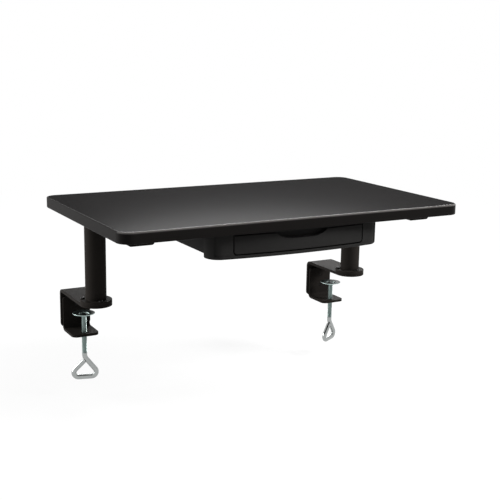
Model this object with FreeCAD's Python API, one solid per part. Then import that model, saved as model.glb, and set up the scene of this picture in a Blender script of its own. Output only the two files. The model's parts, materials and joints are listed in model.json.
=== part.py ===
import FreeCAD
import Part
import math
import os

# A desk shelf on two clamped posts, with a drawer unit under its front. All sizes are in millimetres.
# The origin lies on the desk's rear top edge, midway between the clamps: X to the user's right,
# Y away from the user, Z up. The desk top is the plane Z = 0 and the desk's rear edge the plane Y = 0.

# Board
board_width = 609.6
board_depth = 355.6
board_thickness = 18.0
board_corner_radius = 20.0
band_thickness = 2.0
band_edge_radius = 1.6

# Posts
post_inset = 50.3
post_reach = 101.3
post_diameter = 35.0
post_wall = 2.0
post_length = 133.5
plug_thickness = 12.0
post_bolt_diameter = 8.0
post_bolt_length = 18.0

# Foot flanges
flange_thickness = 5.0
flange_screw_diameter = 4.0
flange_screw_margin = 1.1
flange_screw_count = 3

# Support arms
arm_height = 13.5
arm_web_width = 38.0
arm_side_run = 7.0
arm_lip_width = 14.0
arm_sheet = 2.5
arm_bend_radius = 5.0
arm_setback = 47.0
arm_screw_inset = 26.0

# Clamp brackets
bracket_plate = 5.0
bracket_bend = 5.0
bracket_drop = 65.0
lower_plate = 4.5
bracket_corner_radius = 8.0
bracket_edge_radius = 0.8
lower_bracket_width = 48.0
lower_top_gap = 5.0
lower_top_radius = 4.0
jaw_opening = 65.0
jaw_reach = 51.5
jaw_corner_radius = 10.0
bracket_bolt_diameter = 6.0
bracket_bolt_spacing = 20.0
bracket_bolt_depth = 35.0

# Clamp screws and pressure pads
screw_diameter = 8.8
screw_setback = 13.0
screw_length = 75.7
screw_chamfer = 0.75
neck_diameter = 6.0
rivet_diameter = 9.6
rivet_height = 1.5
pad_diameter = 38.5
pad_hub_diameter = 20.0
pad_hub_height = 2.0
pad_height = 4.2
pad_sheet = 1.2
pad_drop = 30.0
pad_play = 0.3
fit_clearance = 0.08

# Loop handles
handle_drop = 36.0
handle_right_reach = 28.0
handle_left_reach = 31.0
handle_apex_drop = 4.0
handle_corner_radius = 8.2
handle_bend_radius = 12.0
handle_end_gap = 0.9
left_handle_angle = -15.0
right_handle_angle = 30.0

# Drawer bezel
bezel_width = 310.0
bezel_height = 41.0
bezel_depth = 34.0
bezel_setback = 10.1
bezel_bow = 11.5
bezel_corner_radius = 24.0
bezel_wall = 3.0
bezel_bottom_radius = 3.5
bezel_recess = 1.2
bezel_recess_margin = 8.0
rail_height = 3.2
lip_height = 5.2
column_width = 36.5
boss_diameter = 8.0
bezel_screw_setback = 13.0
bezel_screw_inset = 8.0

# Drawer housing
housing_inset = 1.0
housing_height = 33.5
housing_length = 200.0
housing_wall = 2.5
housing_corner_radius = 6.0
housing_lip_width = 14.0
housing_lip_thickness = 3.0
housing_screw_inset = 14.0

# Drawer front and tray
front_gap = 1.6
front_wall = 2.5
front_corner_radius = 5.0
front_edge_radius = 1.5
front_depth = 14.6
front_screw_inset = 24.0
scoop_width = 94.0
scoop_floor_width = 36.0
scoop_height = 10.8
scoop_depth = 10.0
tray_end_gap = 4.8
tray_wall = 2.0
tray_clearance = 0.5
tray_corner_radius = 4.0

# Runners and slide rails
runner_sheet = 1.6
runner_depth = 9.0
runner_height = 13.8
runner_lip = 2.0
slide_gap = 0.3
slide_side_gap = 0.8
slide_height = 6.0
shoe_length = 40.0
runner_screw_inset = 25.0
slide_screw_inset = 26.0

# Screws of the shelf and the drawer unit
wood_screw_diameter = 4.0
wood_screw_bite = 12.0
small_screw_diameter = 3.0
small_screw_length = 8.0
screw_end_gap = 0.5

# Proportions of fasteners, as shares of their thread diameter
pan_head_width = 1.75
pan_head_height = 0.65
hex_head_width = 1.625
hex_head_height = 0.66
low_head_width = 2.0
low_head_height = 0.5
hole_clearance = 0.4
hexagon_sides = 6

# Aids for building: how near counts as the same place, and how far a cut runs past a face
same_place = 0.001
cut_margin = 1.0

# Heights and places worked out from the sizes above
arm_bottom = bracket_plate + post_length
board_bottom = arm_bottom + arm_height
board_top = board_bottom + board_thickness
board_back = bracket_plate + lower_plate
board_front = board_back - board_depth
post_x = board_width / 2 - post_inset
post_y = -post_reach
post_radius = post_diameter / 2
flange_screw_head = pan_head_width * flange_screw_diameter
flange_radius = post_radius + flange_screw_head + 2 * flange_screw_margin
jaw_top = -jaw_opening
screw_y = screw_setback - jaw_reach
pad_bottom = -pad_drop - pad_height
shoulder_z = pad_bottom - pad_play
front_centre = board_front + bezel_setback
bezel_back = front_centre + bezel_depth
bezel_bottom = board_bottom - bezel_height
rail_bottom = board_bottom - rail_height
lip_top = bezel_bottom + lip_height
bow_radius = ((bezel_width / 2) ** 2 + bezel_bow ** 2) / (2 * bezel_bow)
bow_centre = front_centre + bow_radius
passage_half = bezel_width / 2 - column_width
front_half_width = passage_half - front_gap
housing_half = bezel_width / 2 - housing_inset
housing_bottom = board_bottom - housing_height
housing_floor = housing_bottom + housing_wall
housing_back = bezel_back + housing_length
tray_half = passage_half - runner_depth - slide_side_gap
tray_front = front_centre + bezel_recess + front_depth
tray_back = housing_back - housing_wall - tray_end_gap
tray_bottom = housing_floor + tray_clearance
tray_top = rail_bottom - front_gap
slide_z = (tray_bottom + tray_top) / 2
bezel_screw_x = bezel_width / 2 - bezel_screw_setback


def point(x, y, z):
    """Point in the part's frame."""
    return FreeCAD.Vector(x, y, z)


def box(x_range, y_range, z_range):
    """Box between two values on each axis."""
    lows = [min(pair) for pair in (x_range, y_range, z_range)]
    highs = [max(pair) for pair in (x_range, y_range, z_range)]
    sizes = [high - low for low, high in zip(lows, highs)]
    return Part.makeBox(*sizes, point(*lows))


def rod(radius, start, end):
    """Round rod between two points."""
    axis = end - start
    return Part.makeCylinder(radius, axis.Length, start, axis)


def hexagon(width, start, end):
    """Hexagonal bar between two points, measured across its flats."""
    axis = end - start
    corner = width / 2 / math.cos(math.pi / hexagon_sides)
    across = axis.cross(point(1, 0, 0))
    if across.Length < same_place:
        across = axis.cross(point(0, 1, 0))
    across.normalize()
    step = 360 / hexagon_sides
    turned = [FreeCAD.Rotation(axis, step * index).multVec(across) for index in range(hexagon_sides + 1)]
    outline = Part.makePolygon([start + spoke * corner for spoke in turned])
    return Part.Face(outline).extrude(axis)


def straight_edges(shape, direction):
    """Straight edges of a shape that run along one direction."""
    found = []
    for edge in shape.Edges:
        if edge.Curve.TypeId == "Part::GeomLine":
            run = edge.Vertexes[-1].Point - edge.Vertexes[0].Point
            if run.cross(direction).Length < same_place * run.Length:
                found.append(edge)
    return found


def level_edges(shape, z):
    """Edges of a shape that lie wholly at one height."""
    found = []
    for edge in shape.Edges:
        limits = edge.BoundBox
        if abs(limits.ZMin - z) < same_place and abs(limits.ZMax - z) < same_place:
            found.append(edge)
    return found


def fillet(shape, radius, edges):
    """Shape with some of its edges rounded."""
    return shape.makeFillet(radius, edges)


def pan_screw(diameter, length, seat, direction):
    """Pan head screw whose head sits at a point and whose shank runs in a direction."""
    head_height = pan_head_height * diameter
    head_radius = pan_head_width * diameter / 2
    head = rod(head_radius, seat, seat - direction * head_height)
    rim = [edge for edge in head.Edges if edge.Curve.TypeId == "Part::GeomCircle"]
    rim = [edge for edge in rim if (edge.Curve.Center - seat).Length > head_height / 2]
    head = fillet(head, head_height / 2, rim)
    shank = rod(diameter / 2, seat, seat + direction * length)
    return head.fuse(shank).removeSplitter()


def group(solids):
    """Identical fasteners as one node of separate solids."""
    return Part.makeCompound(solids)


def mirrored(shape):
    """Mirror image of a shape on the other side of the middle plane."""
    return shape.mirror(point(0, 0, 0), point(1, 0, 0))


def arm_screw_places():
    """Arm screw axes on the right side, from the front to the back."""
    row = arm_web_width / 2 + arm_side_run + arm_lip_width / 2
    front = board_front + arm_setback + arm_screw_inset
    back = board_back - arm_setback - arm_screw_inset
    return [(post_x + side * row, y) for y in (front, back) for side in (-1, 1)]


def housing_screw_places():
    """Housing screw axes on the right side, from the front to the back."""
    row = housing_half + housing_lip_width / 2
    front = bezel_back + housing_screw_inset
    back = housing_back - housing_screw_inset
    return [(row, front), (row, (front + back) / 2), (row, back)]


def flange_screw_places():
    """Screw axes of the right foot flange, the first of them in front of the post."""
    circle = (post_radius + flange_radius) / 2
    places = []
    for index in range(flange_screw_count):
        turn = 2 * math.pi * index / flange_screw_count
        places.append((post_x + circle * math.sin(turn), post_y - circle * math.cos(turn)))
    return places


def bracket_bolt_heights():
    """Heights of the bolts that join the two brackets of a clamp."""
    half = bracket_bolt_spacing / 2
    return [-bracket_bolt_depth - half, -bracket_bolt_depth + half]


def board_block(inset):
    """Board outline with rounded corners, drawn in by an inset."""
    half = board_width / 2 - inset
    block = box((-half, half), (board_front + inset, board_back - inset), (board_bottom, board_top))
    return fillet(block, board_corner_radius - inset, straight_edges(block, point(0, 0, 1)))


def board_core():
    """Laminated board with a pilot hole for each screw."""
    core = board_block(band_thickness)
    for x, y in arm_screw_places() + housing_screw_places():
        for side in (-1, 1):
            low = point(side * x, y, board_bottom)
            core = core.cut(rod(wood_screw_diameter / 2, low, low + point(0, 0, wood_screw_bite)))
    return core


def edge_band():
    """Band round the board's edge, with its upper and lower edges rounded."""
    block = board_block(0)
    rims = level_edges(block, board_top) + level_edges(block, board_bottom)
    return fillet(block, band_edge_radius, rims).cut(board_block(band_thickness))


def support_arm():
    """Pressed arm under the board: a web between two slanted sides with a lip on each."""
    slant = math.hypot(arm_height, arm_side_run) / arm_height
    wall = arm_sheet * slant
    foot = arm_web_width / 2
    top = foot + arm_side_run
    tip = top + arm_lip_width
    rise = arm_side_run / arm_height
    right = [
        (tip, board_bottom),
        (tip, board_bottom - arm_sheet),
        (top - rise * arm_sheet, board_bottom - arm_sheet),
        (foot, arm_bottom),
    ]
    inner = [
        (foot + rise * arm_sheet - wall, arm_bottom + arm_sheet),
        (top - wall, board_bottom),
    ]
    outline = right + [(-x, z) for x, z in reversed(right)]
    outline += [(-x, z) for x, z in reversed(inner)] + inner
    front = board_front + arm_setback
    back = board_back - arm_setback
    corners = [point(post_x + x, front, z) for x, z in outline + outline[:1]]
    arm = Part.Face(Part.makePolygon(corners)).extrude(point(0, back - front, 0))
    bends = [edge for edge in straight_edges(arm, point(0, 1, 0)) if is_arm_bend(edge)]
    arm = fillet(arm, arm_bend_radius, bends)
    for x, y in arm_screw_places():
        low = point(x, y, board_bottom - arm_sheet)
        hole = rod((wood_screw_diameter + hole_clearance) / 2, low, low + point(0, 0, arm_sheet))
        arm = arm.cut(hole)
    low = point(post_x, post_y, arm_bottom)
    hole = rod((post_bolt_diameter + hole_clearance) / 2, low, low + point(0, 0, arm_sheet))
    return arm.cut(hole)


def is_arm_bend(edge):
    """True for the two outer edges between the arm's web and its sides."""
    limits = edge.BoundBox
    return abs(limits.ZMax - arm_bottom) < same_place and abs(limits.XMax - post_x) < arm_web_width


def arm_screws():
    """Wood screws through the arm's lips into the board."""
    length = arm_sheet + wood_screw_bite - screw_end_gap
    seats = [point(x, y, board_bottom - arm_sheet) for x, y in arm_screw_places()]
    return group([pan_screw(wood_screw_diameter, length, seat, point(0, 0, 1)) for seat in seats])


def post_tube():
    """Round tube from the clamp's top plate to the arm."""
    low = point(post_x, post_y, bracket_plate)
    high = point(post_x, post_y, arm_bottom)
    return rod(post_radius, low, high).cut(rod(post_radius - post_wall, low, high))


def post_plug():
    """Threaded plug welded into the top of the tube."""
    high = point(post_x, post_y, arm_bottom)
    low = high - point(0, 0, plug_thickness)
    return rod(post_radius - post_wall, low, high).cut(rod(post_bolt_diameter / 2, low, high))


def post_bolt():
    """Hexagon bolt through the arm's web into the plug."""
    seat = point(post_x, post_y, arm_bottom + arm_sheet)
    top = seat + point(0, 0, hex_head_height * post_bolt_diameter)
    head = hexagon(hex_head_width * post_bolt_diameter, seat, top)
    shank = rod(post_bolt_diameter / 2, seat, seat - point(0, 0, post_bolt_length))
    return head.fuse(shank).removeSplitter()


def foot_flange():
    """Round disc welded round the foot of the tube."""
    low = point(post_x, post_y, bracket_plate)
    high = low + point(0, 0, flange_thickness)
    disc = rod(flange_radius, low, high)
    disc = fillet(disc, bracket_edge_radius, level_edges(disc, high.z))
    disc = disc.cut(rod(post_radius, low, high))
    for x, y in flange_screw_places():
        start = point(x, y, low.z)
        radius = (flange_screw_diameter + hole_clearance) / 2
        disc = disc.cut(rod(radius, start, start + point(0, 0, flange_thickness)))
    return disc


def flange_screws():
    """Screws that hold the foot flange to the clamp's top plate."""
    length = flange_thickness + bracket_plate - screw_end_gap
    top = bracket_plate + flange_thickness
    seats = [point(x, y, top) for x, y in flange_screw_places()]
    return group([pan_screw(flange_screw_diameter, length, seat, point(0, 0, -1)) for seat in seats])


def angle_profile(start, corner, end, thickness, inner_radius):
    """Face of a bent plate in the YZ plane, from its outer corner points.

    The plate's outer faces run from start to corner and from corner to end, and its thickness
    lies on the side of the inner bend.
    """
    first = (start - corner).normalize()
    second = (end - corner).normalize()
    outer_radius = inner_radius + thickness
    centre = corner + (first + second) * outer_radius
    middle = (first + second).normalize()
    outer_in = corner + first * outer_radius
    outer_out = corner + second * outer_radius
    inner_in = centre - second * inner_radius
    inner_out = centre - first * inner_radius
    inner_start = start + second * thickness
    inner_end = end + first * thickness
    edges = [
        Part.makeLine(start, outer_in),
        arc_between(outer_in, centre - middle * outer_radius, outer_out),
        Part.makeLine(outer_out, end),
        Part.makeLine(end, inner_end),
        Part.makeLine(inner_end, inner_out),
        arc_between(inner_out, centre - middle * inner_radius, inner_in),
        Part.makeLine(inner_in, inner_start),
        Part.makeLine(inner_start, start),
    ]
    return Part.Face(Part.Wire(edges))


def arc_between(start, middle, end):
    """Arc edge through three points."""
    return Part.Arc(start, middle, end).toShape()


def upper_bracket():
    """Top plate with a round front end, bent down behind the desk."""
    left = post_x - flange_radius
    start = point(left, post_y - flange_radius, bracket_plate)
    corner = point(left, board_back, bracket_plate)
    end = point(left, board_back, -bracket_drop)
    profile = angle_profile(start, corner, end, bracket_plate, bracket_bend)
    plate = profile.extrude(point(2 * flange_radius, 0, 0))
    low = point(post_x, post_y, -bracket_drop)
    round_end = rod(flange_radius, low, point(post_x, post_y, bracket_plate))
    x_range = (left, post_x + flange_radius)
    straight = box(x_range, (post_y, board_back), (-bracket_drop, bracket_plate))
    plate = plate.common(round_end.fuse(straight))
    lengthwise = straight_edges(plate, point(0, 1, 0))
    corners = [edge for edge in lengthwise if edge.BoundBox.ZMax < -bracket_bend]
    plate = fillet(plate, bracket_corner_radius, corners)
    plate = fillet(plate, bracket_edge_radius, level_edges(plate, bracket_plate))
    for x, y in flange_screw_places():
        plate = plate.cut(rod(flange_screw_diameter / 2, point(x, y, 0), point(x, y, bracket_plate)))
    for z in bracket_bolt_heights():
        radius = (bracket_bolt_diameter + hole_clearance) / 2
        plate = plate.cut(rod(radius, point(post_x, lower_plate, z), point(post_x, board_back, z)))
    return plate.removeSplitter()


def lower_bracket():
    """Second plate inside the first, bent forward into the lower jaw."""
    left = post_x - lower_bracket_width / 2
    wall_top = -bracket_bend - lower_top_gap
    jaw_bottom = jaw_top - lower_plate
    start = point(left, lower_plate, wall_top)
    corner = point(left, lower_plate, jaw_bottom)
    end = point(left, -jaw_reach, jaw_bottom)
    profile = angle_profile(start, corner, end, lower_plate, bracket_bend)
    plate = profile.extrude(point(lower_bracket_width, 0, 0))
    upright = straight_edges(plate, point(0, 0, 1))
    jaw_corners = [edge for edge in upright if edge.BoundBox.YMax < screw_y]
    plate = fillet(plate, jaw_corner_radius, jaw_corners)
    lengthwise = straight_edges(plate, point(0, 1, 0))
    wall_corners = [edge for edge in lengthwise if edge.BoundBox.ZMin > wall_top - same_place]
    plate = fillet(plate, lower_top_radius, wall_corners)
    for z in bracket_bolt_heights():
        radius = bracket_bolt_diameter / 2
        plate = plate.cut(rod(radius, point(post_x, 0, z), point(post_x, lower_plate, z)))
    radius = screw_diameter / 2 + fit_clearance
    hole = rod(radius, point(post_x, screw_y, jaw_bottom), point(post_x, screw_y, jaw_top))
    return plate.cut(hole).removeSplitter()


def bracket_bolts():
    """Low head bolts that join the two brackets from behind."""
    bolts = []
    for z in bracket_bolt_heights():
        seat = point(post_x, board_back, z)
        back = seat + point(0, low_head_height * bracket_bolt_diameter, 0)
        head = rod(low_head_width * bracket_bolt_diameter / 2, seat, back)
        shank = rod(bracket_bolt_diameter / 2, seat, point(post_x, screw_end_gap, z))
        bolts.append(head.fuse(shank).removeSplitter())
    return group(bolts)


def pressure_pad():
    """Dish with a cup-shaped hub, on the tip of the clamp screw."""
    hole = neck_diameter / 2 + fit_clearance
    hub = pad_hub_diameter / 2
    rim = pad_diameter / 2
    outline = [
        (hole, 0),
        (hub, 0),
        (hub, pad_hub_height - pad_sheet / 2),
        (rim, pad_height - pad_sheet),
        (rim, pad_height),
        (hub - pad_sheet, pad_hub_height + pad_sheet / 2),
        (hub - pad_sheet, pad_sheet),
        (hole, pad_sheet),
    ]
    axis = point(post_x, screw_y, pad_bottom)
    corners = [axis + point(r, 0, z) for r, z in outline + outline[:1]]
    return Part.Face(Part.makePolygon(corners)).revolve(axis, point(0, 0, 1), 360)


def rounded_path(corners, radii):
    """Wire of straight runs through corner points, joined by tangent arcs of the given radii."""
    edges = []
    last = corners[0]
    for before, corner, after, radius in zip(corners, corners[1:], corners[2:], radii):
        back = (before - corner).normalize()
        ahead = (after - corner).normalize()
        half_angle = back.getAngle(ahead) / 2
        start = corner + back * (radius / math.tan(half_angle))
        end = corner + ahead * (radius / math.tan(half_angle))
        centre = corner + (back + ahead).normalize() * (radius / math.sin(half_angle))
        middle = centre + (corner - centre).normalize() * radius
        edges.append(Part.makeLine(last, start))
        edges.append(arc_between(start, middle, end))
        last = end
    edges.append(Part.makeLine(last, corners[-1]))
    return Part.Wire(edges)


def clamp_screw(angle):
    """Clamp screw bent into a triangular loop handle below, with a neck for the pad above."""
    along = point(math.cos(math.radians(angle)), math.sin(math.radians(angle)), 0)
    shoulder = point(post_x, screw_y, shoulder_z)
    bend = shoulder - point(0, 0, screw_length)
    right = bend + along * handle_right_reach - point(0, 0, handle_drop)
    left = bend - along * handle_left_reach - point(0, 0, handle_drop)
    apex = bend + (right - bend).normalize() * handle_apex_drop
    end = apex + (left - apex).normalize() * (screw_diameter / 2 + handle_end_gap)
    radii = [handle_bend_radius, handle_corner_radius, handle_corner_radius]
    path = rounded_path([shoulder, bend, right, left, end], radii)
    section = Part.Wire(Part.makeCircle(screw_diameter / 2, shoulder, point(0, 0, -1)))
    screw = path.makePipeShell([section], True, False)
    screw = screw.makeChamfer(screw_chamfer, level_edges(screw, shoulder.z))
    rivet_low = shoulder + point(0, 0, pad_sheet + 2 * pad_play)
    rivet_high = rivet_low + point(0, 0, rivet_height)
    neck = rod(neck_diameter / 2, shoulder, rivet_low)
    rivet = rod(rivet_diameter / 2, rivet_low, rivet_high)
    rivet = fillet(rivet, rivet_height / 2, level_edges(rivet, rivet_high.z))
    return screw.fuse([neck, rivet]).removeSplitter()


def front_y(x, inset):
    """Y of the bowed front face at a distance from the middle, drawn in by an inset."""
    return bow_centre - math.sqrt((bow_radius - inset) ** 2 - x ** 2)


def bowed_block(half_width, inset, back, z_low, z_high):
    """Block with the bowed front face of the drawer unit, flat sides and a flat back."""
    side_y = front_y(half_width, inset)
    edges = [
        arc_between(point(-half_width, side_y, z_low), point(0, front_y(0, inset), z_low),
                    point(half_width, side_y, z_low)),
        Part.makeLine(point(half_width, side_y, z_low), point(half_width, back, z_low)),
        Part.makeLine(point(half_width, back, z_low), point(-half_width, back, z_low)),
        Part.makeLine(point(-half_width, back, z_low), point(-half_width, side_y, z_low)),
    ]
    return Part.Face(Part.Wire(edges)).extrude(point(0, 0, z_high - z_low))


def bezel_block(inset, z_low, z_high):
    """Outline of the bezel with its rounded front corners, drawn in by an inset."""
    block = bowed_block(bezel_width / 2 - inset, inset, bezel_back, z_low, z_high)
    upright = straight_edges(block, point(0, 0, 1))
    corners = [edge for edge in upright if edge.BoundBox.YMax < bezel_back - same_place]
    return fillet(block, bezel_corner_radius - inset, corners)


def bezel_screw_places():
    """Bezel screw axes on the right side, as X and Z."""
    heights = (lip_top + bezel_screw_inset, rail_bottom - bezel_screw_inset)
    return [(bezel_screw_x, z) for z in heights]


def drawer_bezel():
    """Moulded frame round the drawer front: top rail, two columns and bottom lip."""
    frame = bezel_block(0, bezel_bottom, board_bottom)
    underneath = level_edges(frame, bezel_bottom)
    rim = [edge for edge in underneath if edge.BoundBox.YMin < bezel_back - same_place]
    frame = fillet(frame, bezel_bottom_radius, rim)
    band = bezel_block(0, lip_top, rail_bottom).cut(bezel_block(bezel_recess, lip_top, rail_bottom))
    recess_half = bezel_width / 2 - bezel_recess_margin
    window = box((-recess_half, recess_half), (front_centre, bezel_back), (lip_top, rail_bottom))
    frame = frame.cut(band.common(window))
    hollow = bezel_block(bezel_wall, bezel_bottom + bezel_wall, rail_bottom)
    jambs = [mirrored(bezel_jamb()), bezel_jamb()]
    frame = frame.cut(hollow.cut(jambs))
    y_range = (front_centre - cut_margin, bezel_back)
    opening = box((-passage_half, passage_half), y_range, (lip_top, rail_bottom))
    lengthwise = straight_edges(opening, point(0, 1, 0))
    low_corners = [edge for edge in lengthwise if edge.BoundBox.ZMax < lip_top + same_place]
    frame = frame.cut(fillet(opening, front_corner_radius + front_gap, low_corners))
    return add_bezel_bosses(frame).removeSplitter()


def bezel_jamb():
    """Wall beside the drawer opening, from front to back, before the opening trims it flush."""
    x_range = (passage_half - cut_margin, passage_half + bezel_wall)
    return box(x_range, (front_centre, bezel_back), (bezel_bottom, board_bottom))


def add_bezel_bosses(frame):
    """Frame with a screw boss behind each column, drilled for its screw."""
    half_wall = bezel_wall / 2
    core = bezel_block(half_wall + bezel_recess, bezel_bottom + half_wall, board_bottom - half_wall)
    for x, z in bezel_screw_places():
        for side in (-1, 1):
            back = point(side * x, bezel_back, z)
            boss = rod(boss_diameter / 2, back, point(side * x, front_centre, z)).common(core)
            frame = frame.fuse(boss)
    for x, z in bezel_screw_places():
        for side in (-1, 1):
            back = point(side * x, bezel_back, z)
            hole = rod(small_screw_diameter / 2, back, back - point(0, small_screw_length, 0))
            frame = frame.cut(hole)
    return frame


def bezel_screws():
    """Screws through the front webs of the housing into the bezel's bosses."""
    screws = []
    for x, z in bezel_screw_places():
        for side in (-1, 1):
            seat = point(side * x, bezel_back + housing_wall, z)
            length = housing_wall + small_screw_length - screw_end_gap
            screws.append(pan_screw(small_screw_diameter, length, seat, point(0, -1, 0)))
    return group(screws)


def drawer_housing():
    """Moulded case under the board: floor, outer walls, guide walls, front webs and screw lips."""
    half = housing_half
    y_range = (bezel_back, housing_back)
    case = box((-half, half), y_range, (housing_bottom, board_bottom))
    upright = straight_edges(case, point(0, 0, 1))
    back_corners = [edge for edge in upright if edge.BoundBox.YMin > bezel_back + same_place]
    case = fillet(case, housing_corner_radius, back_corners)
    inner_back = housing_back - housing_wall
    bay_z = (housing_floor, board_bottom)
    case = case.cut(box((-passage_half, passage_half), (bezel_back, inner_back), bay_z))
    bay_side = passage_half + housing_wall
    for side in (-1, 1):
        x_range = (side * bay_side, side * (half - housing_wall))
        bay = box(x_range, (bezel_back + housing_wall, inner_back), bay_z)
        upright = straight_edges(bay, point(0, 0, 1))
        corners = [edge for edge in upright if is_outer_back(edge, inner_back)]
        case = case.cut(fillet(bay, housing_corner_radius - housing_wall, corners))
        lip = box((side * (half - housing_wall / 2), side * (half + housing_lip_width)),
                  (bezel_back, housing_back - housing_corner_radius),
                  (board_bottom - housing_lip_thickness, board_bottom))
        case = case.fuse(lip)
    return drill_housing(case).removeSplitter()


def is_outer_back(edge, inner_back):
    """True for the upright edge at the outer back corner of a side bay."""
    limits = edge.BoundBox
    outer = max(abs(limits.XMin), abs(limits.XMax))
    return limits.YMin > inner_back - same_place and outer > passage_half + 2 * housing_wall


def drill_housing(case):
    """Case with the holes for its own screws, the bezel's and the runners'."""
    for x, y in housing_screw_places():
        for side in (-1, 1):
            low = point(side * x, y, board_bottom - housing_lip_thickness)
            radius = (wood_screw_diameter + hole_clearance) / 2
            case = case.cut(rod(radius, low, low + point(0, 0, housing_lip_thickness)))
    radius = (small_screw_diameter + hole_clearance) / 2
    for x, z in bezel_screw_places():
        for side in (-1, 1):
            front = point(side * x, bezel_back, z)
            case = case.cut(rod(radius, front, front + point(0, housing_wall, 0)))
    for side in (-1, 1):
        for y in runner_screw_places():
            inner = point(side * passage_half, y, slide_z)
            case = case.cut(rod(radius, inner, inner + point(side * housing_wall, 0, 0)))
    return case


def housing_screws():
    """Wood screws through the housing's lips into the board."""
    length = housing_lip_thickness + wood_screw_bite - screw_end_gap
    screws = []
    for x, y in housing_screw_places():
        for side in (-1, 1):
            seat = point(side * x, y, board_bottom - housing_lip_thickness)
            screws.append(pan_screw(wood_screw_diameter, length, seat, point(0, 0, 1)))
    return group(screws)


def runner_screw_places():
    """Y of the screws along a runner."""
    front = bezel_back + runner_screw_inset
    back = housing_back - runner_screw_inset
    return [front, (front + back) / 2, back]


def runner():
    """Channel on the right guide wall, with stop lips at its front end."""
    outer = (passage_half - runner_depth, passage_half)
    back = housing_back - housing_wall
    half = runner_height / 2
    channel = box(outer, (bezel_back, back), (slide_z - half, slide_z + half))
    inner = half - runner_sheet
    slot_x = (passage_half - runner_depth, passage_half - runner_sheet)
    stop_back = bezel_back + runner_lip
    channel = channel.cut(box(slot_x, (stop_back, back), (slide_z - inner, slide_z + inner)))
    mouth = slide_height / 2 + slide_gap
    channel = channel.cut(box(slot_x, (bezel_back, stop_back), (slide_z - mouth, slide_z + mouth)))
    for y in runner_screw_places():
        start = point(passage_half - runner_sheet, y, slide_z)
        channel = channel.cut(rod(small_screw_diameter / 2, start, start + point(runner_sheet, 0, 0)))
    return channel


def runner_screws():
    """Screws from the side bays through the guide walls into the runners."""
    screws = []
    for side in (-1, 1):
        for y in runner_screw_places():
            seat = point(side * (passage_half + housing_wall), y, slide_z)
            length = housing_wall + runner_sheet - screw_end_gap
            screws.append(pan_screw(small_screw_diameter, length, seat, point(-side, 0, 0)))
    return group(screws)


def slide_screw_places():
    """Y of the screws along a slide rail."""
    front = tray_front + slide_screw_inset
    back = tray_back - slide_screw_inset
    return [front, (front + back) / 2, back]


def slide_rail():
    """Rail on the right side of the tray, with a taller shoe at its back that meets the stop lips."""
    x_range = (tray_half, passage_half - runner_sheet - slide_gap)
    half = slide_height / 2
    rail = box(x_range, (tray_front, tray_back), (slide_z - half, slide_z + half))
    shoe_half = runner_height / 2 - runner_sheet - slide_gap
    shoe = box(x_range, (tray_back - shoe_length, tray_back), (slide_z - shoe_half, slide_z + shoe_half))
    rail = rail.fuse(shoe).removeSplitter()
    depth = small_screw_length - tray_wall
    for y in slide_screw_places():
        start = point(tray_half, y, slide_z)
        rail = rail.cut(rod(small_screw_diameter / 2, start, start + point(depth, 0, 0)))
    return rail


def slide_screws():
    """Screws from inside the tray into the slide rails."""
    screws = []
    for side in (-1, 1):
        for y in slide_screw_places():
            seat = point(side * (tray_half - tray_wall), y, slide_z)
            length = small_screw_length - screw_end_gap
            screws.append(pan_screw(small_screw_diameter, length, seat, point(side, 0, 0)))
    return group(screws)


def drawer_tray():
    """Open tray of the drawer, drilled for the screws of its rails and its front."""
    outer = box((-tray_half, tray_half), (tray_front, tray_back), (tray_bottom, tray_top))
    outer = fillet(outer, tray_corner_radius, straight_edges(outer, point(0, 0, 1)))
    inner_half = tray_half - tray_wall
    inner = box((-inner_half, inner_half), (tray_front + tray_wall, tray_back - tray_wall),
                (tray_bottom + tray_wall, tray_top))
    inner = fillet(inner, tray_corner_radius - tray_wall, straight_edges(inner, point(0, 0, 1)))
    tray = outer.cut(inner)
    radius = (small_screw_diameter + hole_clearance) / 2
    for side in (-1, 1):
        for y in slide_screw_places():
            start = point(side * tray_half, y, slide_z)
            tray = tray.cut(rod(radius, start, start - point(side * tray_wall, 0, 0)))
    for x, z in front_screw_places():
        start = point(x, tray_front, z)
        tray = tray.cut(rod(radius, start, start + point(0, tray_wall, 0)))
    return tray


def front_screw_places():
    """X and Z of the screws that hold the drawer front."""
    row = front_half_width - front_screw_inset
    return [(-row, slide_z), (row, slide_z)]


def front_block(inset, back):
    """Block of the drawer front with its bowed face, drawn in by an inset all round."""
    half = front_half_width - inset
    low = lip_top + front_gap + inset
    block = bowed_block(half, bezel_recess + inset, back, low, tray_top - inset)
    if inset:
        return block
    lengthwise = straight_edges(block, point(0, 1, 0))
    low_corners = [edge for edge in lengthwise if edge.BoundBox.ZMax < low + same_place]
    return fillet(block, front_corner_radius, low_corners)


def scoop_block(wall):
    """Solid of the finger scoop, with a wall added on its floor, its rounded ends and its back."""
    half = scoop_floor_width / 2
    run = scoop_width / 2 - half
    radius = (run ** 2 + scoop_height ** 2) / (2 * scoop_height)
    centre_z = tray_top - scoop_height + radius
    reach = radius + wall
    angle = math.acos((radius - scoop_height) / reach)
    middle = (half + reach * math.sin(angle / 2), centre_z - reach * math.cos(angle / 2))
    end = half + reach * math.sin(angle)
    y = front_centre - cut_margin
    left_floor = point(-half, y, centre_z - reach)
    right_floor = point(half, y, centre_z - reach)
    left_end = point(-end, y, tray_top)
    right_end = point(end, y, tray_top)
    above = point(0, 0, cut_margin)
    edges = [
        Part.makeLine(left_floor, right_floor),
        arc_between(right_floor, point(middle[0], y, middle[1]), right_end),
        Part.makeLine(right_end, right_end + above),
        Part.makeLine(right_end + above, left_end + above),
        Part.makeLine(left_end + above, left_end),
        arc_between(left_end, point(-middle[0], y, middle[1]), left_floor),
    ]
    depth = cut_margin + bezel_recess + scoop_depth + wall
    return Part.Face(Part.Wire(edges)).extrude(point(0, depth, 0))


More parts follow.
